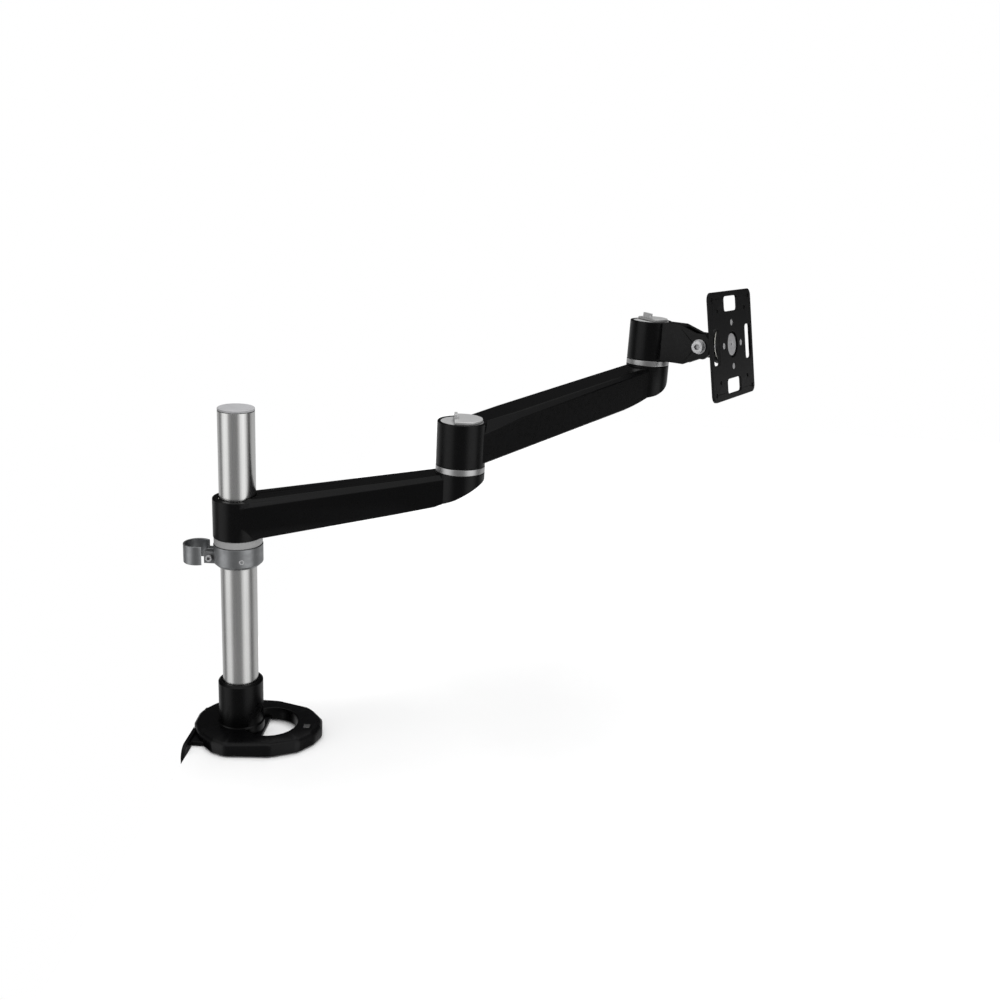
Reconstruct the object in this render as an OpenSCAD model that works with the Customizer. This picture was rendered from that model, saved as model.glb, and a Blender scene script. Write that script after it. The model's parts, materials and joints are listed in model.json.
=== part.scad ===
// Desk-clamped monitor arm: a pole on a clamp base, a height collar, two swivelling arms,
// a swivelling head, a tilt joint and a rotating screen plate.
// Frame: origin on the desk top under the pole axis, +Z up, +X along the desk away from its
// clamped edge, +Y away from the user. Millimetres.

/* [Pole] */
// Outer radius of the pole tube
pole_r = 17.5; // [17:0.1:18]
// Wall thickness of the pole tube
pole_wall = 2.5; // [2:0.5:3]
// Height of the pole's top above the desk, cap included
pole_top = 342; // [330:1:400]

/* [Base] */
// Height of the base casting's top face
base_h = 15; // [13:1:18]
// Height of the rim of the pole socket
socket_h = 61; // [55:1:66]
// Outer radius of the pole socket
socket_r = 22.1; // [22:0.1:23]
// Radius of the round cable opening in the base
cable_hole_r = 28; // [24:0.5:28]

/* [Clamp] */
// Distance from the pole axis to the desk's edge
desk_edge = 41; // [40:0.5:44]
// Thickness of the clamp's steel plate
clamp_t = 4; // [4:0.5:5]
// Depth of the opening between base and lower jaw
clamp_gap = 60; // [58:1:70]
// Thickness of the desk that the clamp is set to
desk_t = 28; // [22:1:32]
// Radius of the clamp spindle
spindle_r = 5; // [4:0.5:5]

/* [Collar] */
// Height of the collar's underside on the pole
collar_z = 185; // [180:1:190]
// Outer radius of the collar
collar_r = 23.8; // [23:0.1:24.5]

/* [Arms] */
// Distance from the pole axis to the middle joint
lower_len = 214; // [205:1:225]
// Distance from the middle joint to the head joint
upper_len = 280; // [270:1:290]
// Direction of the lower arm, seen from above
lower_yaw = 5; // [-30:1:30]
// Direction of the upper arm, seen from above
upper_yaw = 45; // [20:1:70]
// Radius of the round joint hubs
hub_r = 24; // [23.5:0.1:24.5]

/* [Head] */
// Direction that the screen plate faces, seen from above
head_yaw = -33; // [-50:1:-10]
// Distance from the head joint's axis to the tilt axis
tilt_reach = 66; // [62:1:72]
// Rest tilt of the screen plate, top leaning back
tilt_rest = 10; // [0:1:20]
// Side of the square screen plate
plate_side = 115; // [112:1:125]

/* [Hidden] */
$fn = 96;
eps = 0.01;
run_gap = 0.06;

// Heights of the stacked joints
ring_h = 6.2;
thrust_z = collar_z + 21.3;
lower_z = collar_z + 29;
lower_hub_h = 39.3;
mid_ring_z = lower_z + 73.4;
mid_z = mid_ring_z + ring_h;
mid_hub_h = 43.3;
head_ring_z = mid_z + 77.8;
head_z = head_ring_z + ring_h;
head_hub_h = 43;
tilt_z = head_z + 22.4;

// Fit of the shafts and bushes
shaft_r = 8;
bush_r = 10;
pole_bush_r = 20;
hub_lip = 2;
jaw_z = -clamp_gap;
foot_h = 6;
foot_pad_h = 2;
spindle_x = -6;
plate_t = 3;
plate_face = 34;
hub_front = plate_face - plate_t;

// Heights of the lower arm's top and underside at a distance from the pole axis
function lower_top(s) = lower_z + 39.3 + 0.164 * s;
function lower_under(s) = lower_z + 0.223 * (s - 12);
// Heights of the upper arm's top and underside at a distance from the middle joint
function upper_top(s) = mid_z + 40.8 + 0.136 * s;
function upper_under(s) = mid_z + 1.7 + 0.137 * s;

module black_metal() color([0.06, 0.06, 0.065]) children();
module black_plastic() color([0.09, 0.09, 0.095]) children();
module silver() color([0.78, 0.78, 0.79]) children();
module grey_metal() color([0.56, 0.57, 0.59]) children();
module steel() color([0.66, 0.67, 0.68]) children();
module rubber() color([0.13, 0.13, 0.13]) children();
module nylon() color([0.85, 0.84, 0.78]) children();

// A disc or ring that stands on z
module ring(r, z, h, bore = 0) translate([0, 0, z]) difference() {
    cylinder(r = r, h = h);
    if (bore > 0) translate([0, 0, -1]) cylinder(r = bore, h = h + 2);
}
// A hexagonal nut or head standing on z, measured across flats
module hex(flats, z, h, bore = 0) translate([0, 0, z]) difference() {
    cylinder(r = flats / sqrt(3), h = h, $fn = 6);
    if (bore > 0) translate([0, 0, -1]) cylinder(r = bore, h = h + 2, $fn = 96);
}
// A countersunk screw with its head's face at z = 0, pointing up
module flat_screw(r, head, len) difference() {
    union() {
        cylinder(r1 = head, r2 = r, h = head - r);
        cylinder(r = r, h = len);
    }
    translate([0, 0, -1]) cylinder(r = head / 2.6, h = 2.2, $fn = 6);
}
// The clearance that a countersunk screw needs, in the same place
module flat_screw_hole(r, head, len) {
    translate([0, 0, -1]) cylinder(r = head + 0.1, h = 1 + eps);
    cylinder(r1 = head + 0.1, r2 = r + 0.1, h = head - r);
    cylinder(r = r + 0.1, h = len);
}

// Local frames of the moving parts, each with its joint axis on Z
module at_lower() rotate([0, 0, lower_yaw]) children();
module at_mid() at_lower() translate([lower_len, 0, 0]) rotate([0, 0, upper_yaw - lower_yaw]) children();
module at_mid_lower() at_lower() translate([lower_len, 0, 0]) children();
module at_head_upper() at_mid() translate([upper_len, 0, 0]) children();
module at_head() at_head_upper() rotate([0, 0, head_yaw - upper_yaw]) children();
// The tilt frame: origin on the tilt axis, +X out of the screen plate, Y along the tilt axis
module at_tilt() at_head() translate([tilt_reach, 0, tilt_z]) rotate([0, -tilt_rest, 0]) children();

// ---------------------------------------------------------------- base
// Outline of the base at its foot: a long rounded shape that narrows to the right
base_outline = [[-47, 14], [-46, -10], [-36, -28], [-18, -46], [-4, -52],
    [40, -49], [66, -37], [79, -20], [84, -4], [81, 12], [66, 32], [30, 44], [-14, 45], [-36, 32]];
base_round = 15;
base_bevel = 4;
module base_plan(inset = 0) offset(r = base_round, $fn = 48) offset(delta = -base_round - inset)
    polygon(base_outline);
base_screw_spots = [[-26, 18], [-26, -18], [6, 26], [6, -26]];
pad_h = 1;
tube_z = 9;
flange_h = 4.2;
edge_pad_t = 1;
plate_in = desk_edge + edge_pad_t;
flange_end = 24;
flange_half = 34;
back_half = 54;
// Half width of the back plate on its far side
back_rear = 38;
module flange_plan(grow = 0) translate([-plate_in - grow, -flange_half - grow])
    square([plate_in + flange_end + 2 * grow, 2 * (flange_half + grow)]);
// Outline of the whole bracket, open to the left
module bracket_plan(grow) union() {
    translate([-60, -flange_half - grow]) square([60 + flange_end + grow, 2 * (flange_half + grow)]);
    translate([-60, -back_half - grow])
        square([60 - plate_in + grow, back_half + back_rear + 2 * grow]);
}
module cable_opening(grow = 0) difference() {
    translate([30, -3, -1]) cylinder(r = cable_hole_r + grow, h = base_h + 2);
    translate([0, 0, -2]) cylinder(r = socket_r + 1 - grow, h = base_h + 4);
}
module base_casting() black_metal() difference() {
    union() {
        hull() {
            translate([0, 0, pad_h]) linear_extrude(eps) base_plan();
            translate([0, 0, base_h - base_bevel]) linear_extrude(eps) base_plan();
            translate([0, 0, base_h - eps]) linear_extrude(eps) base_plan(base_bevel);
        }
        translate([0, 0, 10]) cylinder(r = socket_r, h = socket_h - 12);
        translate([0, 0, socket_h - 2]) cylinder(r1 = socket_r, r2 = socket_r - 2, h = 2);
        translate([0, 0, base_h - 0.5]) cylinder(r1 = socket_r + 1.3, r2 = socket_r - 0.2, h = 2);
    }
    translate([0, 0, -1]) linear_extrude(pad_h + flange_h + 1) bracket_plan(0.1);
    translate([0, 0, tube_z]) cylinder(r = pole_r + 0.03, h = socket_h);
    cylinder(r = 4.3, h = 20);
    cable_opening();
    for (p = base_screw_spots) translate([p[0], p[1], 0]) cylinder(r = 2.5, h = 12.4);
    for (a = [70, 110]) rotate([0, 0, a]) translate([0, 0, 42]) rotate([0, 90, 0]) cylinder(r = 3, h = 30);
    translate([65.5, -12.5, base_h - 0.6]) cube([7, 7, 1]);
}
module base_pad() rubber() difference() {
    linear_extrude(pad_h) union() {
        base_plan(4);
        flange_plan(-0.5);
    }
    translate([-desk_edge - 20, -60, -1]) cube([20, 120, 3]);
    cable_opening(3);
}
module base_badge() silver() translate([65.8, -12.2, base_h - 0.6]) cube([6.4, 6.4, 0.9]);
// C-shaped plate: top flange under the base, wide back plate, lower jaw with two gussets
back_top = 8.5;
jaw_half = 28;
module clamp_bracket() black_metal() difference() {
    union() {
        translate([-plate_in - clamp_t, -flange_half, pad_h])
            cube([plate_in + clamp_t + flange_end, 2 * flange_half, flange_h - 0.1]);
        translate([-plate_in - clamp_t, 0, 0]) rotate([90, 0, 90]) linear_extrude(clamp_t)
            offset(r = 12, $fn = 48) offset(delta = -12)
            polygon([[-back_half, back_top], [-back_half, -20], [-jaw_half - 12, jaw_z - clamp_t],
                [jaw_half + 8, jaw_z - clamp_t], [back_rear, -20], [back_rear, back_top]]);
        translate([-plate_in - clamp_t, -jaw_half, jaw_z - clamp_t])
            cube([plate_in + clamp_t + 20, 2 * jaw_half, clamp_t]);
        for (y = [-jaw_half, jaw_half - 4]) translate([-plate_in, y + 4, 0]) rotate([90, 0, 0])
            linear_extrude(4) polygon([[0, jaw_z - clamp_t], [0, jaw_z - 22], [18, jaw_z - clamp_t]]);
    }
    // room for the base casting
    translate([0, 0, pad_h + flange_h - 0.1]) linear_extrude(base_h) base_plan(-0.3);
    translate([0, 0, pad_h]) flat_screw_hole(4, 8, 30);
    for (p = base_screw_spots) translate([p[0], p[1], pad_h]) flat_screw_hole(2.4, 4.6, 20);
    translate([spindle_x, 0, jaw_z - clamp_t - 1]) cylinder(r = spindle_r + 0.5, h = clamp_t + 2);
}
module clamp_nut() steel() translate([spindle_x, 0, 0])
    hex(17, jaw_z - clamp_t - 9, 9, spindle_r + run_gap);
module edge_pad() rubber() translate([-plate_in, -26, -18]) cube([edge_pad_t, 52, 16]);
module base_screws() steel() for (p = base_screw_spots) 
    translate([p[0], p[1], pad_h]) flat_screw(2.4, 4.6, 11);
module pole_bolt() steel() translate([0, 0, pad_h]) flat_screw(4, 8, 30);
module pole_plug() grey_metal() ring(pole_r - pole_wall - 0.01, tube_z + 0.5, 26, 4.02);
module pole_tube() silver() ring(pole_r, tube_z, pole_top - 3 - tube_z, pole_r - pole_wall);
module pole_cap() grey_metal() union() {
    ring(pole_r - pole_wall - 0.01, pole_top - 13, 10.1);
    translate([0, 0, pole_top - 2.6]) cylinder(r = pole_r, h = 1.9);
    translate([0, 0, pole_top - 0.7 - eps]) cylinder(r1 = pole_r, r2 = pole_r - 1, h = 0.7);
    translate([0, 0, pole_top - 3]) cylinder(r = pole_r - 1, h = 0.5);
}
module socket_screws() steel() for (a = [70, 110]) rotate([0, 0, a]) translate([pole_r + 0.05, 0, 42])
    rotate([0, 90, 0]) difference() {
        cylinder(r = 2.95, h = 4.2);
        translate([0, 0, 2]) cylinder(r = 1.6, h = 3, $fn = 6);
    }

// ---------------------------------------------------------------- clamp screw
foot_z = -desk_t - foot_pad_h;
module clamp_foot() steel() translate([spindle_x, 0, 0]) difference() {
    union() {
        translate([0, 0, foot_z - 3]) cylinder(r = 21, h = 3);
        translate([0, 0, foot_z - foot_h - 4]) cylinder(r1 = 9.5, r2 = 13, h = foot_h + 1.1);
    }
    translate([0, 0, foot_z - foot_h - 5]) cylinder(r = spindle_r - 1 + run_gap, h = foot_h + 3.5);
}
module foot_pad() rubber() translate([spindle_x, 0, 0]) ring(20, foot_z, foot_pad_h);
knob_z = -118;
module clamp_spindle() steel() translate([spindle_x, 0, 0]) union() {
    translate([0, 0, knob_z + 2]) cylinder(r = spindle_r, h = foot_z - foot_h - 4.5 - knob_z - 2);
    translate([0, 0, foot_z - foot_h - 5]) cylinder(r = spindle_r - 1, h = foot_h + 3.3);
}
module clamp_knob() black_plastic() translate([spindle_x, 0, 0]) difference() {
    union() {
        translate([0, 0, knob_z]) cylinder(r = 15, h = 15);
        translate([0, 0, knob_z + 15 - eps]) cylinder(r1 = 11, r2 = 9, h = 7);
        for (i = [0:4]) rotate([0, 0, 72 * i]) translate([14, 0, knob_z]) cylinder(r = 6, h = 15);
    }
    translate([0, 0, knob_z + 2]) cylinder(r = spindle_r - 0.01, h = 40);
}

// ---------------------------------------------------------------- collar
ear_end = -32;
ear_half = 8;
ear_x = -26.5;
ear_z = collar_z + 7;
module height_collar() grey_metal() difference() {
    union() {
        translate([0, 0, collar_z + 3]) cylinder(r = collar_r, h = thrust_z - collar_z - 3);
        translate([0, 0, collar_z]) cylinder(r1 = collar_r - 3, r2 = collar_r, h = 3);
        translate([ear_end, -ear_half, collar_z + 1]) cube([14, 2 * ear_half, 12]);
    }
    translate([0, 0, collar_z - 1]) cylinder(r = pole_r + run_gap, h = 40);
    translate([-40, -1, collar_z - 1]) cube([30, 2, 40]);
    translate([ear_x, 20, ear_z]) rotate([90, 0, 0]) cylinder(r = 2.6, h = 40);
    rotate([0, 0, -68]) translate([0, 0, collar_z + 9]) rotate([0, 90, 0]) cylinder(r = 2.5, h = 40);
}
module collar_screw() steel() translate([ear_x, -ear_half, ear_z]) rotate([-90, 0, 0]) union() {
    cylinder(r = 2.5, h = 23);
    difference() {
        translate([0, 0, -3.5]) cylinder(r = 3.2, h = 3.5);
        translate([0, 0, -4]) cylinder(r = 1.7, h = 2.5, $fn = 6);
    }
}
module collar_nut() steel() translate([ear_x, ear_half + clip_t, ear_z]) rotate([-90, 30, 0])
    hex(8, 0, 4, 2.52);
module collar_grub() steel() rotate([0, 0, -68]) translate([pole_r + 0.1, 0, collar_z + 9])
    rotate([0, 90, 0]) difference() {
        cylinder(r = 2.45, h = 5.2);
        translate([0, 0, 3]) cylinder(r = 1.5, h = 3, $fn = 6);
    }
clip_x = -41;
clip_y = 3;
clip_r = 14;
clip_t = 2;
clip_h = 19;
// Open cable clip: a C-shaped band that bends into a tab under the collar's nut
module cable_clip() grey_metal() difference() {
    union() {
        translate([clip_x, clip_y, collar_z - 1]) difference() {
            cylinder(r = clip_r, h = clip_h);
            translate([0, 0, -1]) cylinder(r = clip_r - clip_t, h = clip_h + 2);
            translate([0, 0, -1]) linear_extrude(clip_h + 2)
                polygon([[0, 0], [12.5, -21.7], [30, -20], [30, 20], [14, 16.7]]);
        }
        translate([ear_end, ear_half, collar_z + 1]) cube([9.3, clip_t, 12]);
        translate([0, 0, collar_z + 1]) linear_extrude(12)
            polygon([[-31.5, 8], [-31.5, 10], [-32.8, 13], [-35.5, 15.3], [-35.2, 13.3], [-33.5, 9.5]]);
    }
    translate([ear_x, 20, ear_z]) rotate([90, 0, 0]) cylinder(r = 2.6, h = 40);
}
module thrust_ring() nylon() difference() {
    union() {
        ring(collar_r - 1.2, thrust_z, 0.8);
        ring(collar_r - 0.5, thrust_z + 0.8 - eps, lower_z - thrust_z - 0.9);
    }
    translate([0, 0, thrust_z - 1]) cylinder(r = pole_r + 0.3, h = 20);
}

// ---------------------------------------------------------------- arms
// A cross-section of an arm at distance s: half width w, heights z0 to z1, bevelled edges
module arm_section(s, w, z0, z1, top_w, top_h, low_w, low_h) translate([s, 0, 0]) rotate([90, 0, 90])
    linear_extrude(eps) polygon([[-w, z0 + low_h], [-w, z1 - top_h], [-w + top_w, z1], [w - top_w, z1],
        [w, z1 - top_h], [w, z0 + low_h], [w - low_w, z0], [low_w - w, z0]]);
// The screws' places along each cover
lower_screws = [[46, 0], [112, 0], [172, 0]];
upper_screws = [[46, 0], [130, 0], [214, 0]];

// Everything above the sloping underside of the lower arm's end, raised by lift
module lower_ramp(lift = 0) translate([0, 40, lift]) rotate([90, 0, 0]) linear_extrude(80)
    polygon([[-40, lower_z - 20], [65, lower_z - 20], [209.5, lower_z + 49],
        [239, lower_z + 66], [239, mid_ring_z], [-40, mid_ring_z]]);
// The same for the rounder end of the upper arm
module upper_ramp(lift = 0) translate([0, 40, lift]) rotate([90, 0, 0]) linear_extrude(80)
    polygon([[-40, upper_bend - 40], [60, upper_bend - 40], [250, upper_bend + 6],
        [272, upper_bend + 12.4], [282, upper_bend + 17],
        [290, upper_bend + 22], [296, upper_bend + 28], [301, upper_bend + 35],
        [upper_end + 1, upper_bend + 43], [upper_end + 1, head_ring_z], [-40, head_ring_z]]);
module lower_arm() black_metal() difference() {
    union() {
        ring(hub_r - 0.1, lower_z, lower_hub_h);
        at_lower() intersection() {
            union() {
                hull() {
                    arm_section(0, 23.3, lower_z + 0.3, lower_top(0) - 0.4, 7, 7, 7, 14);
                    arm_section(14, 23, lower_z + 0.5, lower_top(14), 6.8, 6.8, 6.8, 13.6);
                    arm_section(150, 19.3, lower_under(150), lower_top(150), 5.2, 5.2, 1.5, 3);
                    arm_section(213, 17.4, lower_under(213), lower_top(213), 4.4, 4.4, 1.5, 3);
                }
                translate([lower_len, 0, lower_z + 20]) cylinder(r = hub_r, h = 80);
            }
            lower_ramp();
        }
    }
    // pole and bushes
    translate([0, 0, lower_z - 1]) cylinder(r = pole_bush_r, h = lower_hub_h - hub_lip + 1);
    translate([0, 0, lower_z + 10]) cylinder(r = pole_r + 0.7, h = 60);
    // hollow underside, open for the cover
    at_lower() difference() {
        hull() {
            arm_section(30, 19.3, lower_under(30) - 4, lower_top(30) - 3.4, 6, 6, 6.5, 16.5);
            arm_section(186, 14.8, lower_under(186) - 4, lower_top(186) - 3.4, 4, 4, 1, 1);
        }
        for (p = lower_screws) translate([p[0], p[1], lower_under(p[0]) + 4]) cylinder(r = 4, h = 60);
    }
    at_lower() for (p = lower_screws) translate([p[0], p[1], lower_under(p[0]) - 6]) cylinder(r = 1.55, h = 20);
    at_lower() translate([lower_len, 0, 0]) ring(shaft_r, lower_z, 100);
    at_lower() translate([lower_len, 0, 0]) ring(13, lower_z, lower_foot_z - lower_z + 4);
    at_lower() translate([-40, 0, lower_z + 20]) rotate([0, 90, 0]) cylinder(r = 3, h = 22);
}
module lower_cover() black_plastic() at_lower() difference() {
    hull() {
        arm_section(31, 13.8, lower_under(31) + 0.4, lower_under(31) + 2.8, 0.1, 0.1, 0.1, 0.1);
        arm_section(185, 14.2, lower_under(185) + 0.4, lower_under(185) + 2.8, 0.1, 0.1, 0.1, 0.1);
    }
    for (p = lower_screws) translate([p[0], p[1], lower_under(p[0]) - 3]) {
        cylinder(r = 1.8, h = 12);
        cylinder(r = 3.3, h = 4.1);
    }
}
module lower_cover_screws() steel() at_lower() for (p = lower_screws)
    translate([p[0], p[1], lower_under(p[0]) - 0.7]) pan_screw(1.5, 3, 1.7, 12);
// A pan-head screw pointing up, its head's face at z = 0
module pan_screw(r, head, head_h, len) union() {
    difference() {
        cylinder(r = head, h = head_h);
        translate([0, 0, -1]) cylinder(r = 1.1, h = 1.8, $fn = 6);
    }
    cylinder(r = r, h = len);
}
module pole_bushes() nylon() for (z = [lower_z, lower_z + lower_hub_h - hub_lip - 12])
    ring(pole_bush_r, z, 12, pole_r + run_gap);
module hub_brake_screw() steel() at_lower() translate([-hub_r + 0.6, 0, lower_z + 20]) rotate([0, 90, 0])
    difference() {
        cylinder(r = 2.95, h = 3.3);
        translate([0, 0, -1]) cylinder(r = 1.5, h = 2.6, $fn = 6);
    }

// A joint spindle: flanged foot in the lower part, shaft, threaded end, on its own axis
module spindle(z_foot, z_hub) union() {
    ring(12.9, z_foot, 4);
    ring(shaft_r, z_foot + 4 - eps, z_hub + 24 - z_foot - 4);
    ring(5, z_hub + 24 - eps, 14);
}
// Disc springs: two shallow cones back to back
module disc_springs(z) difference() {
    union() {
        translate([0, 0, z]) cylinder(r1 = 13, r2 = 11, h = 1.6);
        translate([0, 0, z + 1.6]) cylinder(r1 = 11, r2 = 13, h = 1.6);
    }
    translate([0, 0, z - 1]) cylinder(r = 5.2, h = 6);
}
module joint_bush(z_hub) union() {
    ring(bush_r, z_hub + 0.3, 19.7, shaft_r + run_gap);
    ring(14, z_hub + 20 - eps, 2.5, shaft_r + run_gap);
}
lower_foot_z = lower_z + 60.6;
module mid_spindle() steel() at_mid_lower() spindle(lower_foot_z, mid_z);
module mid_spindle_plug() black_plastic() at_lower() intersection() {
    translate([lower_len, 0, 0]) ring(12.8, lower_z, lower_foot_z - lower_z - 0.2);
    lower_ramp(0.4);
}
module mid_ring() silver() at_mid_lower() ring(hub_r, mid_ring_z, ring_h - 0.1, shaft_r + 0.1);
module mid_washer() steel() at_mid_lower() ring(14, mid_z + 22.6, 1.3, shaft_r + 0.02);
module mid_springs() steel() at_mid_lower() disc_springs(mid_z + 24.1);
module mid_nut() steel() at_mid_lower() hex(15, mid_z + 27.4, 6.4, 5.02);

// The pocket and bore of a joint hub, and the recess for its cap
module hub_bores(z_hub, h, cap_r) {
    ring(bush_r, z_hub - 1, 30);
    ring(14.1, z_hub + 20, 2.6);
    ring(15.5, z_hub + 22.5, 30);
    ring(cap_r, z_hub + h - 3, 5);
}
upper_end = upper_len + hub_r;
upper_bend = upper_under(225);
module upper_arm() black_metal() difference() {
    union() {
        at_mid() ring(hub_r - 0.1, mid_z, mid_hub_h);
        at_mid() intersection() {
            union() {
                hull() {
                    arm_section(0, 22.5, upper_under(0), upper_top(0), 10, 10, 1.5, 1.5);
                    arm_section(60, 21.4, upper_under(60), upper_top(60), 5.9, 5.9, 1.5, 1.5);
                    arm_section(200, 18.8, upper_under(200), upper_top(200), 4.2, 4.2, 1.5, 1.5);
                    arm_section(278, 17, upper_under(278), upper_top(278), 3.2, 3.2, 1.5, 1.5);
                }
                translate([upper_len, 0, mid_z + 20]) cylinder(r = hub_r, h = 80);
            }
            upper_ramp();
        }
    }
    at_mid() hub_bores(mid_z, mid_hub_h, 21);
    at_mid() difference() {
        hull() {
            arm_section(30, 18.2, upper_under(30) - 4, upper_top(30) - 3.6, 6, 6, 1, 1);
            arm_section(226, 14.6, upper_under(226) - 4, upper_top(226) - 3.4, 4, 4, 1, 1);
        }
        for (p = upper_screws) translate([p[0], p[1], upper_under(p[0]) + 4]) cylinder(r = 4, h = 60);
    }
    at_mid() for (p = upper_screws) translate([p[0], p[1], upper_under(p[0]) - 6]) cylinder(r = 1.55, h = 20);
    at_mid() translate([upper_len, 0, 0]) ring(shaft_r, mid_z, 100);
    at_mid() translate([upper_len, 0, 0]) ring(13, mid_z, upper_foot_z - mid_z + 4);
}
module upper_cover() black_plastic() at_mid() difference() {
    hull() {
        arm_section(31, 17.6, upper_under(31) + 0.4, upper_under(31) + 2.8, 0.1, 0.1, 0.1, 0.1);
        arm_section(225, 14, upper_under(225) + 0.4, upper_under(225) + 2.8, 0.1, 0.1, 0.1, 0.1);
    }
    for (p = upper_screws) translate([p[0], p[1], upper_under(p[0]) - 3]) {
        cylinder(r = 1.8, h = 12);
        cylinder(r = 3.3, h = 4.1);
    }
}
module upper_cover_screws() steel() at_mid() for (p = upper_screws)
    translate([p[0], p[1], upper_under(p[0]) - 0.7]) pan_screw(1.5, 3, 1.7, 12);
module mid_bush() nylon() at_mid() joint_bush(mid_z);

// Cap of a joint: a disc in the hub's recess, with a hole for the lever's sleeve
module joint_cap(z_top, r) difference() {
    translate([0, 0, z_top - 3]) cylinder(r = r - 0.1, h = 2.6);
    translate([0, 0, z_top - 4]) cylinder(r = lever_sleeve_r + 0.3, h = 6);
}
// Lever of a joint: a D-shaped plate on the cap with an upturned thumb tab, and a threaded
// sleeve that screws down the spindle
lever_sleeve_r = 6.5;
module joint_lever(z_hub, z_top, r, tab_h, tab_w, tab_x) union() {
    translate([0, 0, z_top - 0.3]) intersection() {
        cylinder(r = r, h = 3);
        translate([-r * 0.38, -r, -1]) cube([2 * r, 2 * r, 5]);
    }
    ring(lever_sleeve_r, z_hub + 34, z_top - z_hub - 34, 5 + run_gap);
    translate([tab_x, -tab_w / 2, z_top - 0.3]) cube([3, tab_w, tab_h]);
}
lever_yaw = -40;
module mid_cap() silver() at_mid() joint_cap(mid_z + mid_hub_h, 21);
module mid_lever() silver() at_mid() rotate([0, 0, lever_yaw])
    joint_lever(mid_z, mid_z + mid_hub_h, 20, 7.5, 12, -7.6);

upper_foot_z = mid_z + 58.4;
module head_spindle() steel() at_head_upper() spindle(upper_foot_z, head_z);
module head_spindle_plug() black_plastic() at_mid() intersection() {
    translate([upper_len, 0, 0]) ring(12.8, mid_z, upper_foot_z - mid_z - 0.2);
    upper_ramp(0.4);
}
module head_ring() silver() at_head_upper() ring(hub_r, head_ring_z, ring_h - 0.1, shaft_r + 0.1);
module head_washer() steel() at_head_upper() ring(14, head_z + 22.6, 1.3, shaft_r + 0.02);
module head_springs() steel() at_head_upper() disc_springs(head_z + 24.1);
module head_nut() steel() at_head_upper() hex(15, head_z + 27.4, 6.4, 5.02);

// ---------------------------------------------------------------- head
fork_in = 6.6;
fork_out = 12;
tongue_r = 12;
module head_bracket() black_metal() difference() {
    union() {
        at_head() translate([0, 0, head_z]) cylinder(r1 = hub_r - 0.1, r2 = hub_r - 0.6, h = head_hub_h);
        at_head() intersection() {
            translate([0, -fork_out, head_z + 0.6]) cube([120, 2 * fork_out, head_hub_h - 0.6]);
            translate([0, 40, 0]) rotate([90, 0, 0]) linear_extrude(80)
                polygon([[0, head_z + 0.6], [48, head_z + 0.6], [66, tilt_z - 13.5], [72, tilt_z - 13.5],
                    [78, tilt_z - 8], [78, tilt_z + 8], [72, tilt_z + 13.5], [60, tilt_z + 13.5],
                    [40, head_z + head_hub_h], [0, head_z + head_hub_h]]);
        }
    }
    at_head() hub_bores(head_z, head_hub_h, 20);
    at_head() translate([44, -fork_in, head_z - 1]) cube([60, 2 * fork_in, 60]);
    at_head() translate([tilt_reach, 40, tilt_z]) rotate([90, 0, 0]) cylinder(r = 4.05, h = 80);
}
module head_bush() nylon() at_head() joint_bush(head_z);
module head_cap() silver() at_head() joint_cap(head_z + head_hub_h, 20);
module head_lever() silver() at_head() rotate([0, 0, 60])
    joint_lever(head_z, head_z + head_hub_h, 18, 8.5, 15, -6.8);
module on_tilt_axis() at_head() translate([tilt_reach, 0, tilt_z]) rotate([90, 0, 0]) children();
module tilt_bolt() steel() on_tilt_axis() union() {
    translate([0, 0, -fork_out - 6]) cylinder(r = 4, h = 2 * fork_out + 7.8);
    difference() {
        translate([0, 0, fork_out + 1.6]) cylinder(r = 6.5, h = 5);
        translate([0, 0, fork_out + 4]) cylinder(r = 3.2, h = 4, $fn = 6);
    }
}
module tilt_nut() steel() on_tilt_axis() hex(13, -fork_out - 7.4, 5.8, 4.02);
module tilt_washers() steel() on_tilt_axis() for (z = [-fork_out - 1.5, fork_out])
    ring(8, z, 1.5, 4.03);
module tilt_block() black_metal() at_tilt() difference() {
    union() {
        translate([0, fork_in - 0.3, 0]) rotate([90, 0, 0]) cylinder(r = tongue_r, h = 2 * fork_in - 0.6);
        translate([0, 0.3 - fork_in, -9]) cube([16, 2 * fork_in - 0.6, 18]);
        rotate([0, 90, 0]) ring(20, 15.5, 5);
        rotate([0, 90, 0]) ring(shaft_r, 20, hub_front - 20);
    }
    translate([0, 20, 0]) rotate([90, 0, 0]) cylinder(r = 4 + run_gap, h = 40);
    rotate([0, 90, 0]) ring(2.5, 18, 20);
}
module turn_disc() nylon() at_tilt() rotate([0, 90, 0]) ring(19, 20.6, 1, shaft_r + 0.1);
module turn_washer() steel() at_tilt() rotate([0, 90, 0]) difference() {
    ring(12, hub_front + 0.1, 1.4, 3.1);
    translate([0, 0, hub_front + 0.4]) cylinder(r1 = 3.1, r2 = 5, h = 1.2);
}
module turn_screw() steel() at_tilt() rotate([0, 90, 0]) translate([0, 0, hub_front + 1.4]) difference() {
    union() {
        translate([0, 0, -1]) cylinder(r1 = 3, r2 = 4.6, h = 1);
        translate([0, 0, -12]) cylinder(r = 2.48, h = 12);
    }
    translate([0, 0, -0.8]) cylinder(r = 1.6, h = 2, $fn = 6);
}

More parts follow.
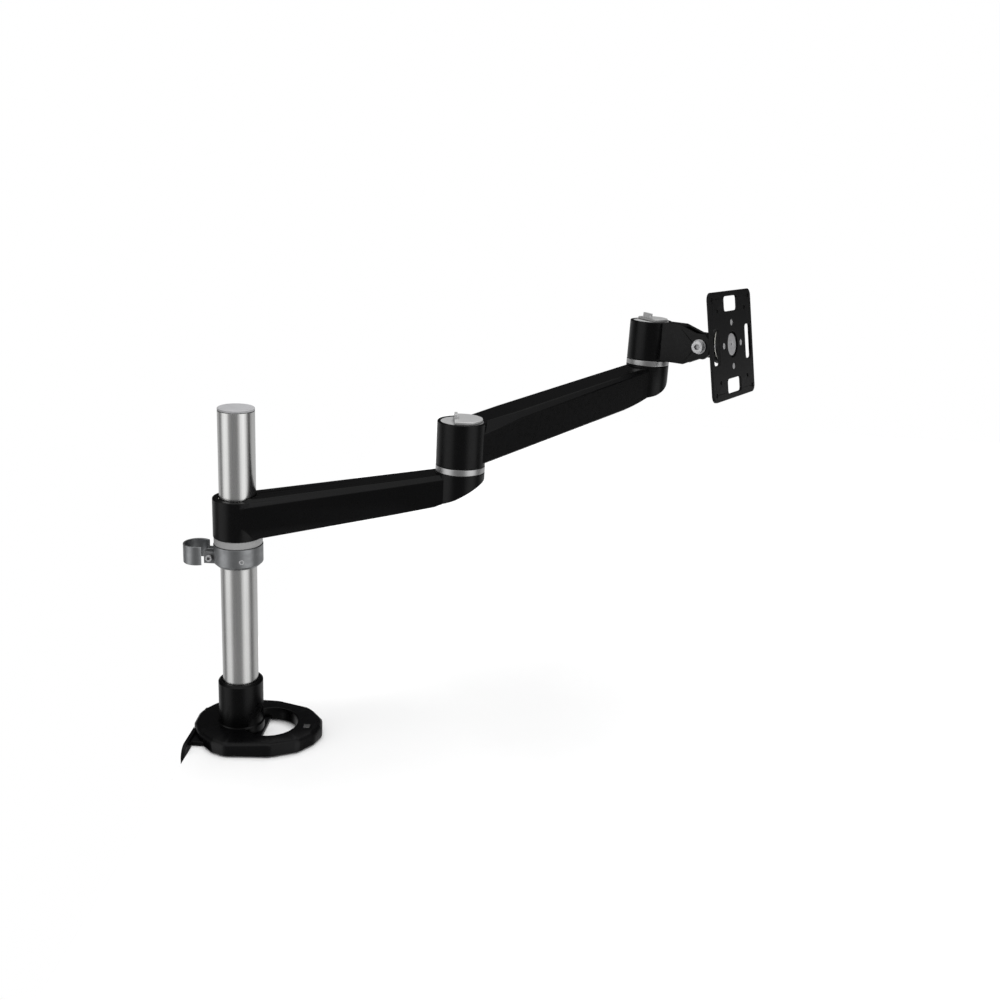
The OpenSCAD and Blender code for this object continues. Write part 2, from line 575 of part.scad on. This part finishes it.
// ---------------------------------------------------------------- screen plate
rivet_ring = 23.5;
module vesa_hub() black_metal() at_tilt() rotate([0, 90, 0]) difference() {
    union() {
        ring(20, 21.7, 4);
        ring(27, 25, hub_front - 25);
    }
    translate([0, 0, 15]) cylinder(r = shaft_r + run_gap, h = 30);
    for (i = [0:3]) rotate([0, 0, 90 * i]) translate([rivet_ring, 0, 10]) cylinder(r = 2.02, h = 40);
}
module vesa_plate() black_metal() at_tilt() rotate([0, 90, 0]) difference() {
    translate([0, 0, hub_front]) linear_extrude(plate_t) difference() {
        offset(r = 8, $fn = 48) square(plate_side - 16, center = true);
        for (i = [0:3]) rotate([0, 0, 90 * i]) translate([0, 44]) offset(r = 4, $fn = 32)
            square([30, 8], center = true);
    }
    translate([0, 0, hub_front - 1]) cylinder(r = 14, h = 6);
    for (i = [0:3]) rotate([0, 0, 90 * i]) translate([rivet_ring, 0, 10]) {
        cylinder(r = 2.02, h = 40);
        translate([0, 0, plate_face - 1.4 - 10]) cylinder(r = 3.7, h = 3);
    }
    for (x = [-1, 1]) for (y = [-1, 1]) for (c = [50, 37.5])
        translate([x * c, y * c, 20]) cylinder(r = 2.25, h = 30);
}
module vesa_rivets() steel() at_tilt() rotate([0, 90, 0]) for (i = [0:3]) rotate([0, 0, 90 * i])
    translate([rivet_ring, 0, 0]) union() {
        translate([0, 0, 24]) cylinder(r = 2, h = plate_face - 0.6 - 24);
        translate([0, 0, plate_face - 1.4]) cylinder(r = 3.6, h = 1);
        translate([0, 0, 23.6]) cylinder(r = 3, h = 1.4);
    }

base_casting();
base_pad();
base_badge();
clamp_bracket();
clamp_nut();
edge_pad();
base_screws();
pole_bolt();
pole_plug();
pole_tube();
pole_cap();
socket_screws();
clamp_spindle();
clamp_knob();
clamp_foot();
foot_pad();
height_collar();
collar_screw();
collar_nut();
collar_grub();
cable_clip();
thrust_ring();
lower_arm();
lower_cover();
lower_cover_screws();
pole_bushes();
hub_brake_screw();
mid_spindle();
mid_spindle_plug();
mid_ring();
mid_washer();
mid_springs();
mid_nut();
upper_arm();
upper_cover();
upper_cover_screws();
mid_bush();
mid_cap();
mid_lever();
head_spindle();
head_spindle_plug();
head_ring();
head_washer();
head_springs();
head_nut();
head_bracket();
head_bush();
head_cap();
head_lever();
tilt_bolt();
tilt_nut();
tilt_washers();
tilt_block();
turn_disc();
turn_washer();
turn_screw();
vesa_hub();
vesa_plate();
vesa_rivets();
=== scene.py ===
import bpy, bmesh, math, json
from mathutils import Vector, Matrix


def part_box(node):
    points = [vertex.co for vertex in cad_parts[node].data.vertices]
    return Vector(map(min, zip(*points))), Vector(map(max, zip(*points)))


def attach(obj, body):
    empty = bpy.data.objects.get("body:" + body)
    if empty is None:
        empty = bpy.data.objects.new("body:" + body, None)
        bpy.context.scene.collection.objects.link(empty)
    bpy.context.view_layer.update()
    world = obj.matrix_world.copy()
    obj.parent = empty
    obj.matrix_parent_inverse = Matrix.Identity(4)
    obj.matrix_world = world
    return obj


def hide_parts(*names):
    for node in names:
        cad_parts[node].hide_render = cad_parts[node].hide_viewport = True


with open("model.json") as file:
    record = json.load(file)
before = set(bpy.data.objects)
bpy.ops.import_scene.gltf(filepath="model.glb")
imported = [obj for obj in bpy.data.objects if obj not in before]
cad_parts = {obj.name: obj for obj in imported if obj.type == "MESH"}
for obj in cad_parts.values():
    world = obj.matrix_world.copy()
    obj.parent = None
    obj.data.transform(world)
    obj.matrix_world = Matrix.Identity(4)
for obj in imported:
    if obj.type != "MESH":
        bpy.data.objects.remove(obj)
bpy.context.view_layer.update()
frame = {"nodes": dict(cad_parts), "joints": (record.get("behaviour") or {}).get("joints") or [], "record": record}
record = frame["record"]
SLOT = {s["node"]: s["material_slot"] for s in record["subparts"]}
BODY = {n: b for b, names in record["behaviour"]["bodies"].items() for n in names}
JOINT = {j["name"]: j for j in frame["joints"]}


# ------------------------------------------------------------------ camera
# It stands in front of the arm and looks along +y, turned down by the pitch
CAM_POS = Vector((0.2652, -0.9422, 0.5525))
CAM_PITCH, CAM_ROLL = math.radians(15.41), math.radians(3.21)
CAM_LENS, CAM_SHIFT = 36.74, (-0.01331, -0.0272)


def make_camera():
    forward = Vector((0, math.cos(CAM_PITCH), -math.sin(CAM_PITCH)))
    level = Vector((1, 0, 0))
    up = level.cross(forward)
    right = level * math.cos(CAM_ROLL) + up * math.sin(CAM_ROLL)
    up = up * math.cos(CAM_ROLL) - level * math.sin(CAM_ROLL)
    data = bpy.data.cameras.new("camera")
    data.sensor_width, data.lens = 36.0, CAM_LENS
    data.shift_x, data.shift_y = CAM_SHIFT
    data.clip_start, data.clip_end = 0.01, 50
    cam = bpy.data.objects.new("camera", data)
    rows = [[right[i], up[i], -forward[i], CAM_POS[i]] for i in range(3)] + [[0, 0, 0, 1]]
    cam.matrix_world = Matrix(rows)
    bpy.context.scene.collection.objects.link(cam)
    bpy.context.scene.camera = cam


# ------------------------------------------------------------------ materials
class Nodes:
    """A short way to build a node material."""

    def __init__(self, name):
        self.m = bpy.data.materials.new(name)
        self.m.use_nodes = True
        self.t = self.m.node_tree
        self.bsdf = self.t.nodes["Principled BSDF"]
        self.co = self.add("ShaderNodeTexCoord").outputs["Object"]

    def add(self, kind, **values):
        n = self.t.nodes.new(kind)
        for k, v in values.items():
            setattr(n, k, v)
        return n

    def link(self, a, b):
        self.t.links.new(a, b)

    def stretched(self, scale):
        n = self.add("ShaderNodeMapping")
        n.inputs["Scale"].default_value = scale
        self.link(self.co, n.inputs["Vector"])
        return n.outputs["Vector"]

    def noise(self, scale, detail=3.0, rough=0.55, co=None):
        n = self.add("ShaderNodeTexNoise")
        n.inputs["Scale"].default_value = scale
        n.inputs["Detail"].default_value = detail
        n.inputs["Roughness"].default_value = rough
        self.link(co if co is not None else self.co, n.inputs["Vector"])
        return n.outputs["Fac"]

    def span(self, value, lo, hi, from_lo=0.3, from_hi=0.7):
        n = self.add("ShaderNodeMapRange")
        n.inputs["From Min"].default_value = from_lo
        n.inputs["From Max"].default_value = from_hi
        n.inputs["To Min"].default_value = lo
        n.inputs["To Max"].default_value = hi
        self.link(value, n.inputs["Value"])
        return n.outputs["Result"]

    def mix(self, fac, a, b):
        n = self.add("ShaderNodeMix", data_type="RGBA")
        self.link(fac, n.inputs[0])
        for value, socket in ((a, n.inputs[6]), (b, n.inputs[7])):
            if isinstance(value, tuple):
                socket.default_value = (*value, 1)
            else:
                self.link(value, socket)
        return n.outputs[2]

    def bump(self, height, strength, depth):
        n = self.add("ShaderNodeBump")
        n.inputs["Strength"].default_value = strength
        n.inputs["Distance"].default_value = depth
        self.link(height, n.inputs["Height"])
        return n.outputs["Normal"]

    def edges(self, lo, hi):
        """1 along worn convex edges, 0 elsewhere."""
        n = self.add("ShaderNodeNewGeometry")
        return self.span(n.outputs["Pointiness"], 0.0, 1.0, lo, hi)

    def shade(self, reach):
        """A mask for painted shade: 0 deep in seams and under neighbouring parts, 1 in the open."""
        n = self.add("ShaderNodeAmbientOcclusion", samples=6)
        n.inputs["Distance"].default_value = reach
        return self.span(n.outputs["AO"], 0.0, 1.0, 0.25, 0.85)

    def fixed(self, **values):
        for k, v in values.items():
            self.bsdf.inputs[k.replace("_", " ")].default_value = v


# A finish's second tone as a share of its first: clouds in a coat, mottling in plastic,
# dull patches on metal, and the painted shade in metal's seams
CLOUD_TONE, MOTTLE_TONE, DULL_TONE, SEAM_SHADE_TONE = 1.35, 1.22, 0.86, 0.3
# How pointed an edge is where wear starts and where it is full, and how far the painted seam shade reaches
WEAR_STARTS, WEAR_FULL, SEAM_SHADE_REACH = 0.53, 0.62, 0.004


def toned(colour, share):
    return tuple(c * share for c in colour)


def powder_coat(name, colour, worn, rough, grain, depth):
    """Black powder coat: orange-peel grain, cloudy gloss, slightly paler worn edges."""
    n = Nodes(name)
    cloud = n.noise(22.0, 4.0)
    fine = n.noise(grain, 2.0)
    base = n.mix(n.span(cloud, 0.0, 1.0), colour, toned(colour, CLOUD_TONE))
    n.link(n.mix(n.edges(WEAR_STARTS, WEAR_FULL), base, worn), n.bsdf.inputs["Base Color"])
    speck = n.span(n.noise(240.0, 5.0), rough - 0.035, rough + 0.05)
    n.link(speck, n.bsdf.inputs["Roughness"])
    n.link(n.bump(fine, 0.22, depth), n.bsdf.inputs["Normal"])
    n.fixed(Metallic=0.0, IOR=1.5, Specular_IOR_Level=0.22)
    return n.m


def moulded(name, colour, rough, grain, depth):
    """Moulded plastic with a spark-eroded texture."""
    n = Nodes(name)
    fine = n.noise(grain, 3.0, 0.6)
    broad = n.noise(30.0, 3.0)
    n.link(n.mix(n.span(broad, 0.0, 1.0), colour, toned(colour, MOTTLE_TONE)),
        n.bsdf.inputs["Base Color"])
    n.link(n.span(fine, rough - 0.05, rough + 0.06), n.bsdf.inputs["Roughness"])
    n.link(n.bump(fine, 0.35, depth), n.bsdf.inputs["Normal"])
    n.fixed(Metallic=0.0, IOR=1.48)
    return n.m


def metal(name, colour, rough, lines, strength=0.12, depth=0.00003, dirt=0.12, metallic=1.0):
    """Metal with fine lines; lines is the noise scale along x, y and z, so the low one is the
    direction of the brushing."""
    n = Nodes(name)
    co = n.stretched(lines)
    streak = n.noise(1.0, 4.0, 0.6, co)
    broad = n.noise(16.0, 3.0)
    tone = n.mix(n.span(streak, 0.0, 1.0), colour, toned(colour, 1 - dirt))
    worn = n.mix(n.span(broad, 0.0, 0.6), tone, toned(colour, DULL_TONE))
    # Painted shade: the colour is darkened in seams and under neighbouring parts, where shade falls
    painted_seam_shade = toned(colour, SEAM_SHADE_TONE)
    n.link(n.mix(n.shade(SEAM_SHADE_REACH), painted_seam_shade, worn), n.bsdf.inputs["Base Color"])
    n.link(n.span(streak, rough - 0.06, rough + 0.07), n.bsdf.inputs["Roughness"])
    n.link(n.bump(streak, strength, depth), n.bsdf.inputs["Normal"])
    n.fixed(Metallic=metallic)
    return n.m


def make_materials():
    along_z, around_z = (900.0, 900.0, 9.0), (25.0, 25.0, 2600.0)
    return {
        "black_casting": powder_coat("black_casting", (0.0012, 0.0012, 0.0014),
            (0.006, 0.006, 0.0065), 0.29, 1700.0, 0.00008),
        "black_steel": powder_coat("black_steel", (0.0016, 0.0016, 0.0018),
            (0.007, 0.007, 0.0075), 0.38, 1500.0, 0.00008),
        "pole_silver": metal("pole_silver", (0.83, 0.83, 0.82), 0.27, along_z, 0.1, 0.00002, 0.06),
        "ring_silver": metal("ring_silver", (0.6, 0.6, 0.6), 0.34, around_z, 0.1),
        "collar_grey": metal("collar_grey", (0.44, 0.45, 0.46), 0.4, (120.0, 120.0, 150.0), 0.4,
            0.0002, 0.35),
        "polished_cap": metal("polished_cap", (0.74, 0.74, 0.74), 0.42, (700.0, 14.0, 700.0), 0.1,
            0.00003, 0.12, 0.45),
        "zinc_steel": metal("zinc_steel", (0.72, 0.72, 0.73), 0.38, (300.0, 300.0, 300.0), 0.1,
            0.00003, 0.12, 0.6),
        "cap_grey": moulded("cap_grey", (0.42, 0.42, 0.43), 0.42, 1600.0, 0.0001),
        "black_plastic": moulded("black_plastic", (0.02, 0.02, 0.021), 0.5, 1300.0, 0.00016),
        "grey_nylon": moulded("grey_nylon", (0.36, 0.36, 0.36), 0.36, 1200.0, 0.00008),
        "nylon": moulded("nylon", (0.74, 0.73, 0.67), 0.42, 1100.0, 0.00008),
        "rubber_pad": moulded("rubber_pad", (0.03, 0.03, 0.03), 0.8, 800.0, 0.0003),
    }


MATS = make_materials()


# ------------------------------------------------------------------ pieces
def settle(piece, node):
    """Gives a new piece the material of its node's slot and its body, and hides the node it stands for."""
    piece.data.materials.clear()
    piece.data.materials.append(MATS[SLOT[node]])
    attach(piece, BODY[node])
    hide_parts(node)
    return piece


def new_object(bm, name):
    """Puts a bmesh into the scene as an object, and frees it."""
    mesh = bpy.data.meshes.new(name)
    bm.to_mesh(mesh)
    bm.free()
    o = bpy.data.objects.new(name, mesh)
    bpy.context.scene.collection.objects.link(o)
    return o


def finish_edges(piece, width, segments):
    """Smooth shading with the weighted edges rounded."""
    for p in piece.data.polygons:
        p.use_smooth = True
    if width:
        b = piece.modifiers.new("edges", "BEVEL")
        b.width, b.segments, b.limit_method = width, segments, "WEIGHT"
        b.use_clamp_overlap = False
        b.miter_outer = "MITER_ARC"
    w = piece.modifiers.new("normals", "WEIGHTED_NORMAL")
    w.keep_sharp, w.weight = True, 60


# Faces that meet at more than this many degrees have a sharp edge between them
FOLD = 30.0
# The base, the collar and the thread stay smooth up to these wider angles
BASE_FOLD, COLLAR_FOLD, THREAD_FOLD = 52.0, 50.0, 60.0
# Edges shorter than this share of the rounding's width, such as a small hole's rim, stay sharp
SHORT_EDGE = 0.35


def as_piece(bm, node, width, segments, angle=FOLD):
    """Turns a bmesh into the piece that stands for a node; its sharp convex edges are rounded."""
    weight = bm.edges.layers.float.new("bevel_weight_edge")
    for e in bm.edges:
        if len(e.link_faces) == 2 and e.calc_face_angle(0.0) > math.radians(angle):
            e.smooth = False
            long_enough = e.calc_length() > SHORT_EDGE * width
            e[weight] = 1.0 if e.is_convex and long_enough else 0.0
    piece = new_object(bm, "v_" + node)
    finish_edges(piece, width, segments)
    return settle(piece, node)


def refined(node, width, segments, angle=FOLD, shift=(0, 0, 0)):
    """The node's own shape with clean faces and rounded, light-catching edges."""
    bm = bmesh.new()
    bm.from_mesh(frame["nodes"][node].data)
    bmesh.ops.translate(bm, verts=bm.verts, vec=shift)
    bmesh.ops.remove_doubles(bm, verts=bm.verts, dist=0.00003)
    return as_piece(bm, node, width, segments, angle)


# ------------------------------------------------------------------ turned pieces
# Their sizes are in millimetres, and this many millimetres make a metre
MM = 1000
POLE_R, POLE_BORE = 17.5, 15.0
RING_R, RING_BORE = 24.0, 8.1
COLLAR_R, COLLAR_BORE, COLLAR_CHAMFER = 23.8, 17.56, 3.0
# The collar's slit in degrees, and the two ears beside it, measured from its underside
SLIT_ANGLE = 4.8
EAR_LOW, EAR_HIGH, EAR_END, EAR_ROOT, EAR_IN, EAR_OUT = 1, 13, -32, -21, 1, 8
SCREW_R, SCREW_PITCH, THREAD_DEPTH, PIN_R, PIN_LENGTH = 5.0, 1.5, 0.9, 4.0, 8.0
# The socket's wall is a skin just outside the casting's own, and its back is inside the casting
SOCKET_R, SOCKET_BACK, SOCKET_LIP, SOCKET_LOW, SKIN = 22.14, 21.0, 20.1, 16.6, 0.03
# A solid turned about its axis keeps a hole of this radius there
AXIS = 0.05
POLE_AXIS = (0.0, 0.0)


def heights(node):
    """The lowest and highest z of a CAD node, in millimetres."""
    low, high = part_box(node)
    return low.z * MM, high.z * MM


def rounded(profile, radius, steps=4):
    """The closed (r, z) outline with its corners rounded."""
    out = []
    count = len(profile)
    for i in range(count):
        a, b, c = (Vector(profile[(i + k) % count]) for k in (-1, 0, 1))
        u, v = a - b, c - b
        half = u.angle(v) / 2
        if half > math.radians(80):
            out.append(b)
            continue
        cut = min(radius / math.tan(half), 0.4 * u.length, 0.4 * v.length)
        start, end = b + u.normalized() * cut, b + v.normalized() * cut
        for k in range(steps + 1):
            s = k / steps
            out.append(start * (1 - s) ** 2 + b * 2 * s * (1 - s) + end * s ** 2)
    return out


def bridge(bm, ring, nxt):
    """The faces between two closed rows of points."""
    for k in range(len(ring)):
        j = (k + 1) % len(ring)
        bm.faces.new((ring[k], ring[j], nxt[j], nxt[k]))


def lathe(node, centre, profile, radius=0.0004, segments=128, name=None):
    """A closed outline of (r, z) in millimetres turned about a vertical line through centre."""
    turns = [2 * math.pi * k / segments for k in range(segments)]
    bm = bmesh.new()
    rings = []
    for r, z in rounded([(r / MM, z / MM) for r, z in profile], radius):
        rings.append([bm.verts.new((centre[0] + r * math.cos(a), centre[1] + r * math.sin(a), z))
            for a in turns])
    for i, ring in enumerate(rings):
        bridge(bm, ring, rings[(i + 1) % len(rings)])
    bmesh.ops.remove_doubles(bm, verts=bm.verts, dist=1e-7)
    bmesh.ops.recalc_face_normals(bm, faces=bm.faces)
    piece = new_object(bm, name or "v_" + node)
    finish_edges(piece, 0, 0)
    return settle(piece, node)


def thread(node, centre, low, high, segments=48, steps=6):
    """A screw thread about a vertical line through centre, its ends run out; millimetres."""
    rows = int((high - low) / SCREW_PITCH * steps)
    bm = bmesh.new()
    rings = []
    for row in range(rows + 1):
        z = low + (high - low) * row / rows
        run_out = min(1.0, (z - low) / SCREW_PITCH, (high - z) / SCREW_PITCH)
        ring = []
        for k in range(segments):
            turn = (z / SCREW_PITCH - k / segments) % 1.0
            r = (SCREW_R - THREAD_DEPTH * (1 - run_out * abs(2 * turn - 1))) / MM
            a = 2 * math.pi * k / segments
            ring.append(bm.verts.new((centre[0] + r * math.cos(a), centre[1] + r * math.sin(a),
                z / MM)))
        rings.append(ring)
    for ring, nxt in zip(rings, rings[1:]):
        bridge(bm, ring, nxt)
    bm.faces.new(rings[0][::-1])
    bm.faces.new(rings[-1])
    return as_piece(bm, node, 0, 0, THREAD_FOLD)


def make_clamp_screw():
    """The threaded spindle, with the plain pin that turns in the foot."""
    corner, far_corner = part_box("clamp_spindle")
    at = ((corner.x + far_corner.x) / 2, (corner.y + far_corner.y) / 2)
    low, high = heights("clamp_spindle")
    shoulder = high - PIN_LENGTH
    thread("clamp_spindle", at, low, shoulder)
    pin = [(AXIS, shoulder - 0.5), (PIN_R, shoulder - 0.5), (PIN_R, high), (AXIS, high)]
    lathe("clamp_spindle", at, pin, 0.0004, 64, "v_clamp_pin")


def make_pole():
    """The tube, its cap and the wall of the socket it stands in."""
    low, high = heights("pole_tube")
    tube = [(POLE_BORE, low), (POLE_R, low), (POLE_R, high), (POLE_BORE, high)]
    lathe("pole_tube", POLE_AXIS, tube)
    plug_r, foot, seam, top = POLE_BORE - 0.02, high - 10, high + 0.4, high + 3
    cap = [(AXIS, high), (plug_r, foot), (plug_r, seam), (POLE_R, seam), (POLE_R, top - 0.7),
        (POLE_R - 0.9, top), (AXIS, top)]
    lathe("pole_cap", POLE_AXIS, cap, 0.0003)
    rim = heights("base_casting")[1] + SKIN
    mouth = POLE_R + 0.1
    socket = [(SOCKET_BACK, SOCKET_LOW), (SOCKET_R, SOCKET_LOW), (SOCKET_R, rim - 1.93),
        (SOCKET_LIP, rim), (mouth, rim), (mouth, rim - SKIN - 3)]
    lathe("base_casting", POLE_AXIS, socket, 0.0006, 128, "v_socket_wall")


def make_rings():
    """The silver rings between the arms and under the head."""
    for node, joint in (("mid_ring", "middle_swivel"), ("head_ring", "head_swivel")):
        low, high = heights(node)
        outline = [(RING_BORE, low), (RING_R, low), (RING_R, high), (RING_BORE, high)]
        lathe(node, JOINT[joint]["pos_m"], outline, 0.0007)


def make_collar(segments=120):
    """The split collar with its two clamping ears."""
    low, high = heights("height_collar")
    profile = [(COLLAR_BORE, low), (COLLAR_R - COLLAR_CHAMFER, low), (COLLAR_R, low + COLLAR_CHAMFER),
        (COLLAR_R, high), (COLLAR_BORE, high)]
    outline = rounded([(r / MM, z / MM) for r, z in profile], 0.0006)
    bm = bmesh.new()
    start = -math.pi + math.radians(SLIT_ANGLE / 2)
    rows = []
    for k in range(segments + 1):
        a = start - 2 * start * k / segments
        rows.append([bm.verts.new((r * math.cos(a), r * math.sin(a), z)) for r, z in outline])
    for row, nxt in zip(rows, rows[1:]):
        bridge(bm, row, nxt)
    bm.faces.new(rows[0])
    bm.faces.new(rows[-1][::-1])
    plan = ((EAR_END, EAR_IN), (EAR_ROOT, EAR_IN), (EAR_ROOT, EAR_OUT), (EAR_END, EAR_OUT))
    for side in (-1, 1):
        v = [bm.verts.new((x / MM, side * y / MM, (low + z) / MM))
            for z in (EAR_LOW, EAR_HIGH) for x, y in plan]
        bm.faces.new(v[:4])
        bm.faces.new(v[:3:-1])
        bridge(bm, v[:4], v[4:])
    bmesh.ops.recalc_face_normals(bm, faces=bm.faces)
    as_piece(bm, "height_collar", 0.0005, 3, COLLAR_FOLD)


def make_set_screws():
    """The socket's and the collar's set screws, moved out to be flush with the walls."""
    socket_shift, grub_shift, grub_angle = 0.0006, 0.0011, math.radians(-68)
    outwards = Vector((math.cos(grub_angle), math.sin(grub_angle), 0))
    refined("socket_screws", 0.0002, 2, shift=(0, socket_shift, 0))
    refined("collar_grub", 0.0002, 2, shift=outwards * grub_shift)


# ------------------------------------------------------------------ all pieces
# Each node's rounding in metres, and the segments in it
EDGES = {
    "base_casting": (0.0012, 4), "clamp_bracket": (0.0006, 3), "cable_clip": (0.0005, 3),
    "thrust_ring": (0.0003, 2), "lower_arm": (0.0009, 3), "upper_arm": (0.0009, 3),
    "lower_cover": (0.0005, 2), "upper_cover": (0.0005, 2), "mid_cap": (0.0005, 3),
    "head_cap": (0.0005, 3), "mid_lever": (0.0006, 3), "head_lever": (0.0006, 3),
    "head_bracket": (0.0009, 3), "tilt_block": (0.0007, 3), "vesa_hub": (0.0006, 3),
    "vesa_plate": (0.0004, 3), "vesa_rivets": (0.0004, 2), "clamp_knob": (0.0012, 4),
    "clamp_foot": (0.0005, 3), "foot_pad": (0.0004, 2), "edge_pad": (0.0003, 2),
    "base_pad": (0.0002, 2), "base_badge": (0.0002, 2), "clamp_nut": (0.0005, 2),
    "collar_screw": (0.0003, 2), "collar_nut": (0.0003, 2), "hub_brake_screw": (0.0002, 2),
    "lower_cover_screws": (0.0002, 2), "upper_cover_screws": (0.0002, 2),
    "mid_spindle_plug": (0.0004, 2), "head_spindle_plug": (0.0004, 2), "tilt_bolt": (0.0004, 2),
    "tilt_nut": (0.0004, 2), "tilt_washers": (0.0002, 2), "turn_washer": (0.0002, 2),
    "turn_screw": (0.0002, 2), "turn_disc": (0.0001, 1), "base_screws": (0.0002, 1),
    "pole_bolt": (0.0002, 1),
}


def make_pieces():
    make_pole()
    make_rings()
    make_collar()
    make_set_screws()
    make_clamp_screw()
    for node, (width, segments) in EDGES.items():
        refined(node, width, segments, BASE_FOLD if node == "base_casting" else FOLD)
    for node, o in frame["nodes"].items():
        if not o.hide_render:
            o.data.materials.clear()
            o.data.materials.append(MATS[SLOT[node]])


# ------------------------------------------------------------------ stage
def make_desk():
    """A pale desk top whose left edge the base is clamped to."""
    left, right, near, far, low, top = -0.041, 1.6, -1.2, 1.6, -0.028, -0.00002
    bm = bmesh.new()
    corners = [bm.verts.new((x, y, z)) for z in (low, top)
        for x, y in ((left, near), (right, near), (right, far), (left, far))]
    bm.faces.new(corners[3::-1])
    bm.faces.new(corners[4:])
    bridge(bm, corners[:4], corners[4:])
    desk = new_object(bm, "desk")
    n = Nodes("desk")
    tone = n.mix(n.span(n.noise(6.0), 0.0, 1.0), (0.93, 0.93, 0.93), (0.95, 0.95, 0.95))
    n.link(tone, n.bsdf.inputs["Base Color"])
    n.fixed(Roughness=0.75, Specular_IOR_Level=0.2)
    n.fixed(Emission_Color=(1, 1, 1, 1), Emission_Strength=0.03)
    desk.data.materials.append(n.m)
    desk.visible_glossy = False


def make_backdrop():
    """A plain white dome that only the camera sees, so it adds no light of its own."""
    dome_radius = 12.0
    bm = bmesh.new()
    bmesh.ops.create_icosphere(bm, subdivisions=4, radius=dome_radius)
    dome = new_object(bm, "backdrop")
    n = Nodes("backdrop")
    n.fixed(Base_Color=(0, 0, 0, 1), Specular_IOR_Level=0.0)
    n.fixed(Emission_Color=(1, 1, 1, 1), Emission_Strength=1.0)
    dome.data.materials.append(n.m)
    for rays in ("diffuse", "glossy", "transmission", "volume_scatter", "shadow"):
        setattr(dome, "visible_" + rays, False)


# ------------------------------------------------------------------ light
# Brightness of the room in front of, behind and low behind the arm, and of the ceiling
FRONT_ROOM, REAR_ROOM, LOW_REAR, CEILING = 0.21, 0.04, 0.48, 0.7
# Each panel's direction from -y, in degrees, and its brightness
PANELS = ((-59.0, 0.88), (56.0, 0.95))
# A panel is full within the first angle of its direction and gone by the second, in degrees
PANEL_FULL, PANEL_GONE = 5.0, 32.0
SUN_POWER, SUN_SPREAD = 2.2, math.radians(50)
SUN_TILT = (math.radians(-8), math.radians(6), 0)


def make_world():
    """A studio seen only as reflections and fill: two tall soft panels, one each side of the
    camera, a pale ceiling, and a room that is dark behind the arm and lighter low down."""
    world = bpy.data.worlds.new("studio")
    world.use_nodes = True
    tree = world.node_tree
    co = tree.nodes.new("ShaderNodeTexCoord").outputs["Generated"]
    parts = tree.nodes.new("ShaderNodeSeparateXYZ")
    tree.links.new(co, parts.inputs[0])
    y, z = parts.outputs["Y"], parts.outputs["Z"]

    def span(value, from_lo, from_hi, lo, hi):
        n = tree.nodes.new("ShaderNodeMapRange")
        n.interpolation_type = "SMOOTHSTEP"
        for k, v in (("From Min", from_lo), ("From Max", from_hi), ("To Min", lo), ("To Max", hi)):
            n.inputs[k].default_value = v
        tree.links.new(value, n.inputs["Value"])
        return n.outputs["Result"]

    def maths(kind, a, b):
        n = tree.nodes.new("ShaderNodeMath")
        n.operation = kind
        tree.links.new(a, n.inputs[0])
        tree.links.new(b, n.inputs[1])
        return n.outputs[0]

    def vector(kind, a, b=None):
        n = tree.nodes.new("ShaderNodeVectorMath")
        n.operation = kind
        tree.links.new(a, n.inputs[0])
        if b is not None:
            n.inputs[1].default_value = b
        return n.outputs["Value" if kind == "DOT_PRODUCT" else "Vector"]

    level = vector("NORMALIZE", vector("MULTIPLY", co, (1, 1, 0)))
    total = span(y, -0.35, 0.35, FRONT_ROOM, REAR_ROOM)
    behind = span(y, 0.0, 0.6, 0.0, LOW_REAR)
    total = maths("ADD", total, maths("MULTIPLY", behind, span(z, -0.12, 0.02, 1.0, 0.0)))
    for azimuth, strength in PANELS:
        a = math.radians(azimuth)
        near = vector("DOT_PRODUCT", level, (math.sin(a), -math.cos(a), 0))
        gone, full = (math.cos(math.radians(v)) for v in (PANEL_GONE, PANEL_FULL))
        panel = span(near, gone, full, 0.0, strength)
        tall = maths("MULTIPLY", span(z, -0.45, -0.2, 0.6, 1.0), span(z, 0.55, 0.75, 1.0, 0.0))
        total = maths("ADD", total, maths("MULTIPLY", panel, tall))
    total = maths("ADD", total, span(z, 0.6, 0.9, 0.0, CEILING))
    tree.links.new(total, tree.nodes["Background"].inputs[1])
    tree.nodes["Background"].inputs[0].default_value = (1, 1, 1, 1)
    bpy.context.scene.world = world


def make_sun():
    """A broad light from above that casts the soft shadows and isn't seen in reflections."""
    sun = bpy.data.lights.new("overhead", "SUN")
    sun.energy, sun.angle = SUN_POWER, SUN_SPREAD
    o = bpy.data.objects.new("overhead", sun)
    o.rotation_euler = SUN_TILT
    o.visible_glossy = False
    bpy.context.scene.collection.objects.link(o)


bpy.context.scene.view_settings.view_transform = "Standard"
make_camera()
make_desk()
make_backdrop()
make_world()
make_sun()
make_pieces()
